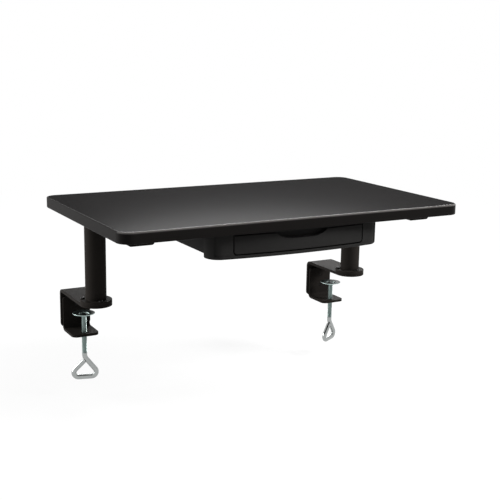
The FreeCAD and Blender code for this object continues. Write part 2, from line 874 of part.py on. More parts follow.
def drawer_front():
    """Hollow moulded front with a flat-floored finger scoop in its upper edge."""
    outer = front_block(0, tray_front)
    face = [edge for edge in outer.Edges if is_face_edge(edge)]
    outer = fillet(outer, front_edge_radius, face)
    shell = outer.cut(front_block(front_wall, tray_front))
    shell = shell.fuse(scoop_block(front_wall).common(outer))
    for x, z in front_screw_places():
        back = point(x, tray_front, z)
        boss = rod(boss_diameter / 2, back, back - point(0, front_depth, 0))
        shell = shell.fuse(boss.common(outer))
    shell = shell.cut(scoop_block(0))
    for x, z in front_screw_places():
        back = point(x, tray_front, z)
        depth = small_screw_length - tray_wall
        shell = shell.cut(rod(small_screw_diameter / 2, back, back - point(0, depth, 0)))
    return shell.removeSplitter()


def is_face_edge(edge):
    """True for the edges round the bowed face of the drawer front."""
    limits = edge.BoundBox
    return limits.YMax < front_y(front_half_width, bezel_recess) + same_place


def front_screws():
    """Screws from inside the tray into the drawer front."""
    length = small_screw_length - screw_end_gap
    seats = [point(x, tray_front + tray_wall, z) for x, z in front_screw_places()]
    return group([pan_screw(small_screw_diameter, length, seat, point(0, -1, 0)) for seat in seats])


def shelf_nodes():
    """Pieces of the board and the drawer unit, by name."""
    return {
        "board_core": board_core(),
        "edge_band": edge_band(),
        "drawer_bezel": drawer_bezel(),
        "drawer_housing": drawer_housing(),
        "housing_screws": housing_screws(),
        "bezel_screws": bezel_screws(),
        "left_runner": mirrored(runner()),
        "right_runner": runner(),
        "runner_screws": runner_screws(),
        "drawer_tray": drawer_tray(),
        "drawer_front": drawer_front(),
        "front_screws": front_screws(),
        "left_slide_rail": mirrored(slide_rail()),
        "right_slide_rail": slide_rail(),
        "slide_screws": slide_screws(),
    }


def post_nodes():
    """Pieces of the right post and its clamp that are the same on both sides, by name."""
    return {
        "support_arm": support_arm(),
        "arm_screws": arm_screws(),
        "post_tube": post_tube(),
        "post_plug": post_plug(),
        "post_bolt": post_bolt(),
        "foot_flange": foot_flange(),
        "flange_screws": flange_screws(),
        "upper_bracket": upper_bracket(),
        "lower_bracket": lower_bracket(),
        "bracket_bolts": bracket_bolts(),
        "pressure_pad": pressure_pad(),
    }


def main():
    """Build every piece and write one file for each."""
    nodes = shelf_nodes()
    for name, shape in post_nodes().items():
        nodes["right_" + name] = shape
        nodes["left_" + name] = mirrored(shape)
    nodes["right_clamp_screw"] = clamp_screw(right_handle_angle)
    left_screw = clamp_screw(left_handle_angle)
    left_screw.translate(point(-2 * post_x, 0, 0))
    nodes["left_clamp_screw"] = left_screw
    os.makedirs("parts", exist_ok=True)
    for name, shape in nodes.items():
        if not shape.isValid():
            raise RuntimeError("invalid shape: " + name)
        shape.exportStep("parts/" + name + ".step")
        print(name, len(shape.Solids), round(shape.Volume, 1))


main()
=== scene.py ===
import json
import math

import bpy
from bpy.props import FloatProperty, FloatVectorProperty, IntProperty
from mathutils import Matrix, Vector

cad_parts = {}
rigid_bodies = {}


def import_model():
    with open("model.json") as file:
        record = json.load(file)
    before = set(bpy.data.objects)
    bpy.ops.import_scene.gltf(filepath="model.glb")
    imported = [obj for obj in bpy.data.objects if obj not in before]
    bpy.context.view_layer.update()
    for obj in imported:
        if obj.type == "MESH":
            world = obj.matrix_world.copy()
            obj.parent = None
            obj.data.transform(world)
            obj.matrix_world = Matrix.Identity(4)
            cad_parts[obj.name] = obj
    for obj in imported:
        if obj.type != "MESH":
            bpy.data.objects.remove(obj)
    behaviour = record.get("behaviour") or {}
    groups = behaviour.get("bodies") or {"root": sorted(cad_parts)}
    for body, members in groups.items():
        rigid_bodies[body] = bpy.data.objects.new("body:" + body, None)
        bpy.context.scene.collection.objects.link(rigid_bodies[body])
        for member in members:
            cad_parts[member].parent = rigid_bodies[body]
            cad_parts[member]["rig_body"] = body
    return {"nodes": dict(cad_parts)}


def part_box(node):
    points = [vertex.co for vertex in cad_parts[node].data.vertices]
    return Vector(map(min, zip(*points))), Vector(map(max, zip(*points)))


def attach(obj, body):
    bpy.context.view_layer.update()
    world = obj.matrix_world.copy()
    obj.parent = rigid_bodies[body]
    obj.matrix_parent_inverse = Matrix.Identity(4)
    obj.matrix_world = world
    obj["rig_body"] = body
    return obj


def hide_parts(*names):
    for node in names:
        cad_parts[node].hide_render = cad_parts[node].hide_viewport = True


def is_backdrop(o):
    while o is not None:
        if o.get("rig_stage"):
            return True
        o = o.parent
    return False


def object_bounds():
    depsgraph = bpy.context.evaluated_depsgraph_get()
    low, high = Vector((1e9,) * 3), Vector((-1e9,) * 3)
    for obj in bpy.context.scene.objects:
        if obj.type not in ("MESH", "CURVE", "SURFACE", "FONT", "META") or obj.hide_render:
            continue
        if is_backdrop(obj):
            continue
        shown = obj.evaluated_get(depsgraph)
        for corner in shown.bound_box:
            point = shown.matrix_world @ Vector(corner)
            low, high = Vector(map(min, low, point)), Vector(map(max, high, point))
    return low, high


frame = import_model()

bl_info = {
    "name": "Clamp-on Shelf",
    "version": (1, 0, 0),
    "blender": (4, 5, 0),
    "location": "3D View > Sidebar > Shelf",
    "description": "Finishes a desk shelf on two clamped posts with a drawer under its front",
    "category": "Object",
}

SIDES = ("left", "right")
MM = 0.001
WHITE = (1.0, 1.0, 1.0, 1.0)

# Points closer than this are merged.
MERGE_DISTANCE = 0.001 * MM

# Edges sharper than this are softened, with this many faces across them. Small pieces get this width.
SHARP_ANGLE = math.radians(40)
SOFT_SEGMENTS = 3
SMALL_SOFTENING = 0.35 * MM

# Faces that meet at less than this are shaded as one surface.
SMOOTH_ANGLE = math.radians(35)

# The band's arris is painted light as a painted highlight; it starts and is full this far below the
# board's top.
ARRIS_START = 3.2 * MM
ARRIS_FULL = 1.2 * MM

# The painted arris highlight fades out between these distances behind the front edge.
ARRIS_FADE_START = 6 * MM
ARRIS_FADE_END = 18 * MM

# The painted shade on a clamp screw's tip, inside its pad's dish, sets in over this height above and
# below the pad's underside.
SEAT_BLEND = 0.2 * MM

# The rubbed zinc of a handle fades out between these heights above the handle's foot.
GRIP_FADE_START = 47 * MM
GRIP_FADE_END = 51 * MM

# A pad's painted shade, standing in for the dark reflection of the bracket above, starts where its
# surface faces up this much, and is full where it faces up this much.
DISH_START = 0.5
DISH_FULL = 0.9

# Streaks per metre along the three axes on zinc-plated pieces.
ROD_SCRATCHES = (700.0, 700.0, 40.0)
PAD_SCRATCHES = (500.0, 500.0, 200.0)
BOLT_SCRATCHES = (900.0, 900.0, 60.0)
EVEN_SCRATCHES = (900.0, 900.0, 900.0)

# Pan head screws: head width, head height and taper of the tip for a diameter of 1.
PAN_HEAD_WIDTH = 1.75
PAN_HEAD_HEIGHT = 0.65
TIP_TAPER = 0.3
DOME_STEPS = 5

# Cross recess: length by the head's radius, width by the diameter, depth and top by the head's height,
# and size of its floor by its own length.
RECESS_LENGTH = 1.15
RECESS_WIDTH = 0.22
RECESS_DEPTH = 0.75
RECESS_TOP = 1.01
RECESS_FLOOR = 0.22

# Each next recess or socket of a group is turned by this angle, in radians.
RECESS_TURN = 0.7

# Bracket bolts: chamfer of the tip, socket's depth by the head's height, and its radius by the shank's.
BOLT_CHAMFER = 0.5 * MM
SOCKET_DEPTH = 0.7
SOCKET_RADIUS = 0.78

# Thread of the clamp screws for a pitch of 1: depth, both ends of the crest and the start of the root.
THREAD_DEPTH = 0.6134
CREST_START = 0.3125
CREST_END = 0.4375
ROOT_START = 0.75

# Clamp screws: the rod, its length from the shoulder to the bend, the taper between the root of a 1.5 mm
# thread and the plain rod, and the shoulder's gap under the pad.
ROD_RADIUS = 4.4 * MM
ROD_LENGTH = 75.7 * MM
ROD_TAPER = THREAD_DEPTH * 1.5 * MM
SHOULDER_GAP = 0.3 * MM

# Directions of the loop handles round the screws' axes, in degrees.
HANDLE_ANGLES = {"left": -15.0, "right": 30.0}

# A rod's bend has one step for each of these angles, and at least this many steps.
BEND_STEP = math.radians(7)
LEAST_BEND_STEPS = 3

# Riveted tip of a clamp screw: radius and height of each corner above the shoulder, in mm.
RIVET_PROFILE = (
    (0.0, 0.0), (3.0, 0.0), (3.0, 1.8), (4.8, 1.8), (4.8, 2.55), (4.58, 3.08), (4.05, 3.3), (0.0, 3.3))

# Floor: its colour for the light on the shelf, and its colour and glow for the camera near the shelf.
FLOOR_GREY = (0.4, 0.4, 0.4, 1.0)
SEEN_FLOOR_GREY = (0.2, 0.2, 0.2, 1.0)
SEEN_FLOOR_GLOW = 0.8

# The seen floor turns plain white between these distances from the middle.
FLOOR_FADE_START = 0.6
FLOOR_FADE_END = 2.2

# Each lamp's place, the point it faces, its width and height, and whether gloss shows it.
LAMPS = {
    "left_lamp": ((-1.75, 0.75, 0.5), (-0.1, -0.15, 0.05), (1.3, 1.3), True),
    "high_lamp": ((1.9, -1.5, 1.5), (0.0, -0.2, 0.1), (1.0, 1.0), False),
    "rear_lamp": ((1.36, 2.05, 0.975), (0.0, -0.17, 0.17), (1.9, 0.6), True),
}

# The camera sees nothing beyond this distance.
CAMERA_REACH = 100.0


class FinishSettings(bpy.types.PropertyGroup):
    """Colours and gloss of the shelf's finishes."""

    laminate_colour: FloatVectorProperty(
        name="Laminate", description="Colour of the board's laminate",
        default=(0.0105, 0.0095, 0.0095), size=3, min=0, max=1, subtype="COLOR")
    laminate_roughness: FloatProperty(
        name="Laminate roughness", description="How matt the board's laminate is",
        default=0.75, min=0, max=1, subtype="FACTOR")
    band_colour: FloatVectorProperty(
        name="Edge band", description="Colour of the band round the board",
        default=(0.0109, 0.0100, 0.0095), size=3, min=0, max=1, subtype="COLOR")
    # The band's upper arris is painted lighter as a painted highlight; this sets how many times lighter.
    arris_painted_highlight: FloatProperty(
        name="Arris", description="How many times lighter the band's scraped upper arris is",
        default=9.0, min=1, max=20)
    coat_colour: FloatVectorProperty(
        name="Powder coat", description="Colour of the posts, arms and brackets",
        default=(0.0226, 0.0199, 0.0179), size=3, min=0, max=1, subtype="COLOR")
    coat_roughness: FloatProperty(
        name="Powder coat roughness", description="How matt the powder coat is",
        default=0.5, min=0, max=1, subtype="FACTOR")
    plastic_colour: FloatVectorProperty(
        name="Drawer plastic", description="Colour of the drawer unit's mouldings",
        default=(0.0256, 0.0251, 0.0245), size=3, min=0, max=1, subtype="COLOR")
    plastic_roughness: FloatProperty(
        name="Drawer plastic roughness", description="How matt the mouldings are",
        default=0.5, min=0, max=1, subtype="FACTOR")
    zinc_colour: FloatVectorProperty(
        name="Zinc plate", description="Colour of the clamp screws, pads and fasteners",
        default=(0.29, 0.355, 0.34), size=3, min=0, max=1, subtype="COLOR")
    rubbed_colour: FloatVectorProperty(
        name="Rubbed zinc", description="Colour of the zinc plate where hands rub it",
        default=(0.36, 0.375, 0.37), size=3, min=0, max=1, subtype="COLOR")
    zinc_roughness: FloatProperty(
        name="Zinc roughness", description="How matt the zinc plate is",
        default=0.3, min=0, max=1, subtype="FACTOR")


class ScrewSettings(bpy.types.PropertyGroup):
    """Sizes of the threaded clamp screws and their loop handles."""

    thread_pitch: FloatProperty(
        name="Thread pitch", description="Travel of a clamp screw in one turn",
        default=1.5 * MM, min=0.5 * MM, max=3 * MM, unit="LENGTH")
    thread_end: FloatProperty(
        name="Plain shank", description="Length of unthreaded rod above the bend of the handle",
        default=9 * MM, min=0, max=40 * MM, unit="LENGTH")
    rod_sides: IntProperty(
        name="Rod sides", description="Faces round a rod or a screw; a pad has twice as many",
        default=40, min=12, max=96)
    handle_drop: FloatProperty(
        name="Handle height", description="Height of the loop handle below its bend",
        default=36 * MM, min=10 * MM, max=80 * MM, unit="LENGTH")
    handle_right_reach: FloatProperty(
        name="Handle right reach", description="Reach of the loop's first corner from the screw's axis",
        default=28 * MM, min=10 * MM, max=60 * MM, unit="LENGTH")
    handle_left_reach: FloatProperty(
        name="Handle left reach", description="Reach of the loop's second corner from the screw's axis",
        default=31 * MM, min=10 * MM, max=60 * MM, unit="LENGTH")
    handle_apex_drop: FloatProperty(
        name="Handle apex", description="Distance along the first side at which the wire's end meets it",
        default=4 * MM, min=0, max=20 * MM, unit="LENGTH")
    handle_end_gap: FloatProperty(
        name="Handle end gap", description="Gap between the wire's end and the first side",
        default=0.9 * MM, min=0, max=5 * MM, unit="LENGTH")
    handle_bend_radius: FloatProperty(
        name="Handle bend", description="Radius of the bend between the rod and the loop",
        default=12 * MM, min=5 * MM, max=30 * MM, unit="LENGTH")
    handle_corner_radius: FloatProperty(
        name="Handle corners", description="Radius of the loop's two lower corners",
        default=8.2 * MM, min=5 * MM, max=20 * MM, unit="LENGTH")


class StudioSettings(bpy.types.PropertyGroup):
    """Camera, floor and lamps."""

    camera_place: FloatVectorProperty(
        name="Camera", description="Where the camera stands",
        default=(-0.78850, -1.58465, 0.43873), size=3, subtype="XYZ", unit="LENGTH")
    camera_turn: FloatProperty(
        name="Camera turn", description="How far the camera looks to the right of straight ahead",
        default=math.radians(29.080), unit="ROTATION")
    camera_pitch: FloatProperty(
        name="Camera pitch", description="How far the camera looks down",
        default=math.radians(12.377), unit="ROTATION")
    camera_roll: FloatProperty(
        name="Camera roll", description="How far the camera leans",
        default=math.radians(0.961), unit="ROTATION")
    camera_lens: FloatProperty(
        name="Camera lens", description="Focal length on a 36 mm sensor",
        default=69.884, min=1, subtype="DISTANCE_CAMERA")
    floor_width: FloatProperty(
        name="Floor width", description="Side of the square floor",
        default=60.0, min=1, unit="LENGTH")
    floor_drop: FloatProperty(
        name="Floor drop", description="Room under the handles for the clamp screws to come down",
        default=31 * MM, min=0, unit="LENGTH")
    left_power: FloatProperty(
        name="Left lamp", description="Power of the large lamp on the left",
        default=39.5, min=0, unit="POWER")
    high_power: FloatProperty(
        name="High lamp", description="Power of the lamp high up in front on the right",
        default=82.0, min=0, unit="POWER")
    rear_power: FloatProperty(
        name="Rear lamp", description="Power of the lamp behind the shelf",
        default=31.0, min=0, unit="POWER")
    sky_strength: FloatProperty(
        name="Sky", description="Strength of the even light from all round",
        default=0.27, min=0, max=1)


class Value:
    """A shader socket that takes part in Python arithmetic: each operator adds one Math node."""

    def __init__(self, tree, socket=None):
        self.tree = tree
        self.socket = socket

    def node(self, kind, settings=None, inputs=None, output=0):
        """Add a node, apply its settings, fill its sockets and return one of its outputs."""
        made = self.tree.nodes.new(kind)
        for name, setting in (settings or {}).items():
            setattr(made, name, setting)
        for name, value in (inputs or {}).items():
            if isinstance(value, Value):
                self.tree.links.new(value.socket, made.inputs[name])
            else:
                made.inputs[name].default_value = value
        return None if output is None else Value(self.tree, made.outputs[output])

    def math(self, operation, first, second=0.0):
        """One Math node on two values."""
        return self.node("ShaderNodeMath", {"operation": operation}, {0: first, 1: second})

    def __add__(self, other):
        return self.math("ADD", self, other)

    def __sub__(self, other):
        return self.math("SUBTRACT", self, other)

    def __rsub__(self, other):
        return self.math("SUBTRACT", other, self)

    def __mul__(self, other):
        return self.math("MULTIPLY", self, other)

    __radd__ = __add__
    __rmul__ = __mul__


def noise(place, scale, detail=2.0, stretch=None):
    """Noise from 0 to 1 with features of about 1 / scale metres, stretched along the axes if asked."""
    if stretch:
        place = place.node("ShaderNodeMapping", inputs={"Vector": place, "Scale": stretch})
    return place.node("ShaderNodeTexNoise", inputs={"Vector": place, "Scale": scale, "Detail": detail})


def between(value, low, high, new_low, new_high):
    """Value mapped from one range to another and held inside it."""
    return value.node("ShaderNodeMapRange", inputs={
        "Value": value, "From Min": low, "From Max": high, "To Min": new_low, "To Max": new_high})


def mix_colours(mask, first, second):
    """First colour where the mask is 0, second where it is 1."""
    first = (*first, 1.0) if isinstance(first, tuple) else first
    second = (*second, 1.0) if isinstance(second, tuple) else second
    return mask.node("ShaderNodeMix", {"data_type": "RGBA"}, {0: mask, 6: first, 7: second}, 2)


def scaled(colour, factor):
    """Colour made lighter or darker by a factor."""
    return tuple(min(1.0, channel * factor) for channel in colour)


def shades(mask, colour, first, second):
    """Colour times the first factor where the mask is 0, and times the second where it is 1."""
    return mix_colours(mask, scaled(colour, first), scaled(colour, second))


def bump(height, depth):
    """Normal from a height map whose full range is a depth in metres."""
    return height.node("ShaderNodeBump", inputs={"Height": height, "Strength": 1.0, "Distance": depth})


def part_of(place, axis):
    """One of the three parts of a place or a direction."""
    return place.node("ShaderNodeSeparateXYZ", inputs={"Vector": place}, output=axis)


def start_material(name):
    """New material, its shader, and the position on the object as a value."""
    made = bpy.data.materials.new(name)
    made.use_nodes = True
    tree = made.node_tree
    shader = tree.nodes["Principled BSDF"]
    place = Value(tree).node("ShaderNodeTexCoord", output="Object")
    return made, shader, place


def connect(shader, values):
    """Set or link the shader's sockets by name."""
    for name, value in values.items():
        if isinstance(value, Value):
            value.tree.links.new(value.socket, shader.inputs[name])
        elif isinstance(value, tuple):
            shader.inputs[name].default_value = (*value, 1.0)
        else:
            shader.inputs[name].default_value = value


def laminate_material(settings):
    """Black melamine laminate: fine pebbled texture, faint mottling and handling haze."""
    made, shader, place = start_material("black_laminate")
    colour = tuple(settings.laminate_colour)
    mottle = noise(place, 9.0, detail=4.0)
    pebble = noise(place, 1100.0, detail=3.0)
    haze = between(noise(place, 5.0, detail=5.0), 0.35, 0.7, 0.0, 1.0)
    connect(shader, {
        "Base Color": shades(mottle, colour, 0.85, 1.15),
        "Roughness": settings.laminate_roughness + haze * 0.06 + pebble * 0.04,
        "Normal": bump(pebble, 0.01 * MM),
        "Specular IOR Level": 0.0,
        "Coat Weight": 0.045,
        "Coat Roughness": 0.12,
    })
    return made


def band_material(settings):
    """Plastic edge band: fine drawn lines, and a front upper arris painted light as a painted highlight.
    """
    made, shader, place = start_material("edge_band")
    colour = tuple(settings.band_colour)
    lines = noise(place, 1.0, detail=2.0, stretch=(6.0, 6.0, 2200.0))
    pebble = noise(place, 900.0, detail=2.0)
    low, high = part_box("edge_band")
    height = part_of(place, "Z")
    depth = part_of(place, "Y")
    edge = between(height, high.z - ARRIS_START, high.z - ARRIS_FULL, 0.0, 1.0)
    arris = edge * between(depth, low.y + ARRIS_FADE_START, low.y + ARRIS_FADE_END, 1.0, 0.0)
    flat = shades(lines, colour, 0.9, 1.1)
    connect(shader, {
        # Painted highlight: the front upper arris gets a lighter base colour.
        "Base Color": mix_colours(arris, flat, scaled(colour, settings.arris_painted_highlight)),
        "Roughness": 0.34 + lines * 0.08,
        "Coat Weight": arris,
        "Coat Roughness": 0.4,
        "Normal": bump(lines * 0.6 + pebble * 0.4, 0.008 * MM),
        "Specular IOR Level": 0.02,
    })
    return made


def powder_coat_material(settings, name, tone, gloss):
    """Black powder coat on steel: orange peel, faint cloudiness and small gloss changes."""
    made, shader, place = start_material(name)
    colour = scaled(tuple(settings.coat_colour), tone)
    peel = noise(place, 700.0, detail=2.0)
    cloud = noise(place, 22.0, detail=4.0)
    connect(shader, {
        "Base Color": shades(cloud, colour, 0.85, 1.2),
        "Roughness": settings.coat_roughness + (cloud - 0.5) * 0.1,
        "Normal": bump(peel, 0.04 * MM),
        "Specular IOR Level": gloss,
    })
    return made


def moulding_material(settings, name, tone, rougher):
    """Black moulded plastic: spark-eroded grain with slight changes of gloss."""
    made, shader, place = start_material(name)
    colour = scaled(tuple(settings.plastic_colour), tone)
    grain = noise(place, 1900.0, detail=3.0)
    flow = noise(place, 14.0, detail=4.0, stretch=(1.0, 2.0, 3.0))
    connect(shader, {
        "Base Color": shades(flow, colour, 0.88, 1.12),
        "Roughness": settings.plastic_roughness + rougher + (flow - 0.5) * 0.08 + grain * 0.05,
        "Normal": bump(grain, 0.03 * MM),
        "Specular IOR Level": 0.02,
    })
    return made


def zinc_material(settings, name, tone, scratch, painted_shade=None, rubbed=None):
    """Zinc plate: spangle, streaks and uneven gloss, dark with painted shade or rubbed where masks say.
    """
    made, shader, place = start_material(name)
    colour = scaled(tuple(settings.zinc_colour), tone)
    spangle = noise(place, 240.0, detail=3.0)
    streaks = noise(place, 1.0, detail=3.0, stretch=scratch)
    dull = between(noise(place, 60.0, detail=4.0), 0.4, 0.75, 0.0, 1.0)
    plate = shades(spangle * 0.6 + dull * 0.4, colour, 1.08, 0.82)
    rough = settings.zinc_roughness + dull * 0.1 + streaks * 0.08
    metal = 1.0
    if rubbed:
        bare = rubbed(place)
        plate = mix_colours(bare, plate, tuple(settings.rubbed_colour))
        rough = rough - bare * 0.12
    # Painted shade: where the mask says, the plate turns a dark non-metal for the shade and dark
    # reflection under the bracket.
    if painted_shade:
        mask = painted_shade(place)
        metal = 1.0 - mask
        plate = mix_colours(mask, plate, scaled(colour, 0.04))
    connect(shader, {
        "Base Color": plate,
        "Metallic": metal,
        "Roughness": rough,
        "Normal": bump(streaks * 0.5 + spangle * 0.5, 0.015 * MM),
        "Specular IOR Level": 0.03,
    })
    return made


def above_pad_seat(place):
    """Mask of painted shade that is 1 on the riveted tips of the clamp screws, inside their pads."""
    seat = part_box("left_pressure_pad")[0].z
    height = part_of(place, "Z")
    return between(height, seat - SEAT_BLEND, seat + SEAT_BLEND, 0.0, 1.0)


def handle_grip(place):
    """Mask that is 1 on the loop handles, where hands rub the plate bright, and 0 on the threads."""
    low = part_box("left_clamp_screw")[0].z
    height = part_of(place, "Z")
    return between(height, low + GRIP_FADE_START, low + GRIP_FADE_END, 1.0, 0.0)


def inside_dish(place):
    """Mask of painted shade and dark reflection that is 1 where a pad faces up, inside its dish and its
    hub.
    """
    facing = place.node("ShaderNodeTexCoord", output="Normal")
    return between(part_of(facing, "Z"), DISH_START, DISH_FULL, 0.0, 1.0)


def black_screw_material(settings):
    """Blackened screw steel, a little shinier than the powder coat."""
    made, shader, place = start_material("black_screw_steel")
    colour = scaled(tuple(settings.coat_colour), 0.3)
    patches = noise(place, 500.0, detail=3.0)
    connect(shader, {
        "Base Color": shades(patches, colour, 0.8, 1.3),
        "Roughness": 0.36 + patches * 0.14,
        "Normal": bump(patches, 0.02 * MM),
        "Specular IOR Level": 0.12,
    })
    return made


def rolled_steel_material():
    """Plain rolled steel with drawn lines along the runner."""
    made, shader, place = start_material("rolled_steel")
    lines = noise(place, 1.0, detail=3.0, stretch=(1500.0, 12.0, 1500.0))
    stain = noise(place, 40.0, detail=4.0)
    connect(shader, {
        "Base Color": mix_colours(stain, (0.34, 0.34, 0.35), (0.46, 0.46, 0.47)),
        "Metallic": 1.0,
        "Roughness": 0.32 + lines * 0.16,
        "Normal": bump(lines, 0.01 * MM),
    })
    return made


def paint(node, finish):
    """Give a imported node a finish."""
    for slot in frame["nodes"][node].material_slots:
        slot.material = finish


def edit_all():
    """Go into edit mode on the active piece with everything selected."""
    bpy.ops.object.mode_set(mode="EDIT")
    bpy.ops.mesh.select_all(action="SELECT")


def line_piece(name, place, points):
    """New piece of one open line through points in the XZ plane, left in edit mode, all selected."""
    bpy.ops.object.select_all(action="DESELECT")
    bpy.ops.mesh.primitive_plane_add(size=MM, location=place)
    piece = bpy.context.object
    piece.name = name
    edit_all()
    bpy.ops.mesh.merge(type="CENTER")
    last = (0.0, 0.0)
    for index, point in enumerate(points):
        step = (point[0] - last[0], 0.0, point[1] - last[1])
        if index == 0:
            bpy.ops.transform.translate(value=step)
        else:
            bpy.ops.mesh.extrude_vertices_move(TRANSFORM_OT_translate={"value": step})
        last = point
    bpy.ops.mesh.select_all(action="SELECT")
    return piece


def close_up():
    """Merge doubled points, turn the faces outwards and leave edit mode."""
    bpy.ops.mesh.select_all(action="SELECT")
    bpy.ops.mesh.remove_doubles(threshold=MERGE_DISTANCE)
    bpy.ops.mesh.normals_make_consistent(inside=False)
    bpy.ops.object.mode_set(mode="OBJECT")


def settle(piece):
    """Shade the piece and put its place into its mesh."""
    bpy.ops.object.select_all(action="DESELECT")
    piece.select_set(True)
    bpy.context.view_layer.objects.active = piece
    bpy.ops.object.transform_apply(location=True, rotation=True, scale=True)
    bpy.ops.object.shade_smooth_by_angle(angle=SMOOTH_ANGLE)
    return piece


def use_modifier(piece, kind, settings):
    """Add a modifier, set it and apply it."""
    bpy.context.view_layer.objects.active = piece
    modifier = piece.modifiers.new(kind.lower(), kind)
    for name, setting in settings.items():
        setattr(modifier, name, setting)
    bpy.ops.object.modifier_apply(modifier=modifier.name)


def soften(piece, width):
    """Round the piece's sharp edges."""
    use_modifier(piece, "BEVEL", {
        "width": width, "segments": SOFT_SEGMENTS, "limit_method": "ANGLE", "angle_limit": SHARP_ANGLE})


def spun_piece(name, place, profile, sides):
    """Closed round piece about the Z axis, from radius and height points."""
    piece = line_piece(name, place, profile)
    bpy.ops.mesh.spin(steps=sides, angle=math.tau, center=place, axis=(0, 0, 1), use_auto_merge=True)
    close_up()
    return piece


def join_pieces(name, pieces):
    """One piece made of several."""
    bpy.ops.object.select_all(action="DESELECT")
    for piece in pieces:
        piece.select_set(True)
    bpy.context.view_layer.objects.active = pieces[0]
    bpy.ops.object.join()
    pieces[0].name = name
    return pieces[0]


def cut_piece(piece, cutter):
    """Cut one piece out of another and delete the cutter."""
    use_modifier(piece, "BOOLEAN", {"operation": "DIFFERENCE", "object": cutter, "solver": "EXACT"})
    bpy.data.objects.remove(cutter, do_unlink=True)


def dress(piece, node, finish):
    """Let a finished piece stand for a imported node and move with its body."""
    piece.data.materials.clear()
    piece.data.materials.append(finish)
    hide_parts(node)
    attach(piece, frame["nodes"][node]["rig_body"])


def solid_boxes(node):
    """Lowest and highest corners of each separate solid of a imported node."""
    bpy.ops.object.select_all(action="DESELECT")
    source = frame["nodes"][node]
    copy = bpy.data.objects.new("solid_copy", source.data.copy())
    bpy.context.scene.collection.objects.link(copy)
    copy.select_set(True)
    bpy.context.view_layer.objects.active = copy
    edit_all()
    bpy.ops.mesh.remove_doubles(threshold=MERGE_DISTANCE)
    bpy.ops.mesh.separate(type="LOOSE")
    bpy.ops.object.mode_set(mode="OBJECT")
    boxes = []
    for solid in list(bpy.context.selected_objects):
        points = [vertex.co for vertex in solid.data.vertices]
        low = Vector([min(point[axis] for point in points) for axis in range(3)])
        high = Vector([max(point[axis] for point in points) for axis in range(3)])
        boxes.append((low, high))
        bpy.data.objects.remove(solid, do_unlink=True)
    return boxes


def slot_cutter(length, width, depth, top, turn):
    """Tapered wedge that cuts one slot of a cross recess."""
    bpy.ops.object.select_all(action="DESELECT")
    bpy.ops.mesh.primitive_cone_add(
        vertices=4, radius1=length * RECESS_FLOOR, radius2=length / math.sqrt(2), depth=depth,
        location=(0, 0, top - depth / 2), rotation=(0, 0, math.radians(45)))
    cutter = bpy.context.object
    bpy.ops.object.transform_apply(location=True, rotation=True, scale=False)
    cutter.scale = (1.0, width / length, 1.0)
    cutter.rotation_euler = (0, 0, turn)
    bpy.ops.object.transform_apply(location=False, rotation=True, scale=True)
    return cutter


def pan_screw(head_radius, length, sides):
    """Pan head screw with a cross recess, its head's seat at the origin and its shank down."""
    diameter = head_radius * 2 / PAN_HEAD_WIDTH
    height = PAN_HEAD_HEIGHT * diameter
    tip = diameter * TIP_TAPER
    profile = [
        (0.0, -length), (diameter / 2 - tip / 2, -length), (diameter / 2, tip / 2 - length),
        (diameter / 2, 0.0), (head_radius, 0.0), (head_radius, height / 2),
    ]
    flat = head_radius - height / 2
    for step in range(1, DOME_STEPS + 1):
        angle = math.pi / 2 * step / DOME_STEPS
        profile.append((flat + height / 2 * math.cos(angle), height / 2 + height / 2 * math.sin(angle)))
    profile.append((0.0, height))
    screw = spun_piece("pan_screw", (0, 0, 0), profile, sides)
    for turn in (0.0, math.pi / 2):
        recess = slot_cutter(
            head_radius * RECESS_LENGTH, diameter * RECESS_WIDTH, height * RECESS_DEPTH,
            height * RECESS_TOP, turn)
        cut_piece(screw, recess)
    return screw


def copy_screws(master, places, node, finish):
    """Put copies of one screw in place of a node, each with its seat and the side its head faces."""
    copies = []
    for index, (seat, facing) in enumerate(places):
        copy = master.copy()
        copy.data = master.data.copy()
        bpy.context.scene.collection.objects.link(copy)
        turn = Matrix.Rotation(RECESS_TURN * index, 4, "Z")
        aim = facing.to_track_quat("Z", "Y").to_matrix().to_4x4()
        copy.matrix_world = Matrix.Translation(seat) @ aim @ turn
        copies.append(settle(copy))
    bpy.data.objects.remove(master, do_unlink=True)
    dress(join_pieces(node + "_detail", copies), node, finish)


def place_screws(node, toward, finish, sides):
    """Put a cross recess screw in place of each plain one of a node; its shank points toward a side."""
    boxes = solid_boxes(node)
    toward = Vector(toward)
    low, high = boxes[0]
    across = 0 if toward.z else 2
    radius = (high[across] - low[across]) / 2
    diameter = radius * 2 / PAN_HEAD_WIDTH
    height = PAN_HEAD_HEIGHT * diameter
    run = [abs(part) for part in toward].index(1.0)
    length = high[run] - low[run] - height
    places = []
    for low, high in boxes:
        middle = (low + high) / 2
        shank = toward * (-1.0 if toward.x and middle.x < 0 else 1.0)
        places.append((middle - shank * ((length + height) / 2 - height), -shank))
    copy_screws(pan_screw(radius, length, sides), places, node, finish)


def bracket_bolt(head_radius, head_height, length, sides):
    """Low head bolt with a hexagon socket, its seat at the origin and its shank down."""
    thread_radius = head_radius / 2
    profile = [
        (0.0, -length), (thread_radius - BOLT_CHAMFER, -length), (thread_radius, BOLT_CHAMFER - length),
        (thread_radius, 0.0), (head_radius, 0.0), (head_radius, head_height), (0.0, head_height),
    ]
    bolt = spun_piece("bracket_bolt", (0, 0, 0), profile, sides)
    soften(bolt, SMALL_SOFTENING)
    bpy.ops.object.select_all(action="DESELECT")
    bpy.ops.mesh.primitive_cylinder_add(
        vertices=6, radius=thread_radius * SOCKET_RADIUS, depth=head_height * SOCKET_DEPTH * 2,
        location=(0, 0, head_height))
    socket = bpy.context.object
    bpy.ops.object.transform_apply(location=True, rotation=False, scale=False)
    cut_piece(bolt, socket)
    return bolt


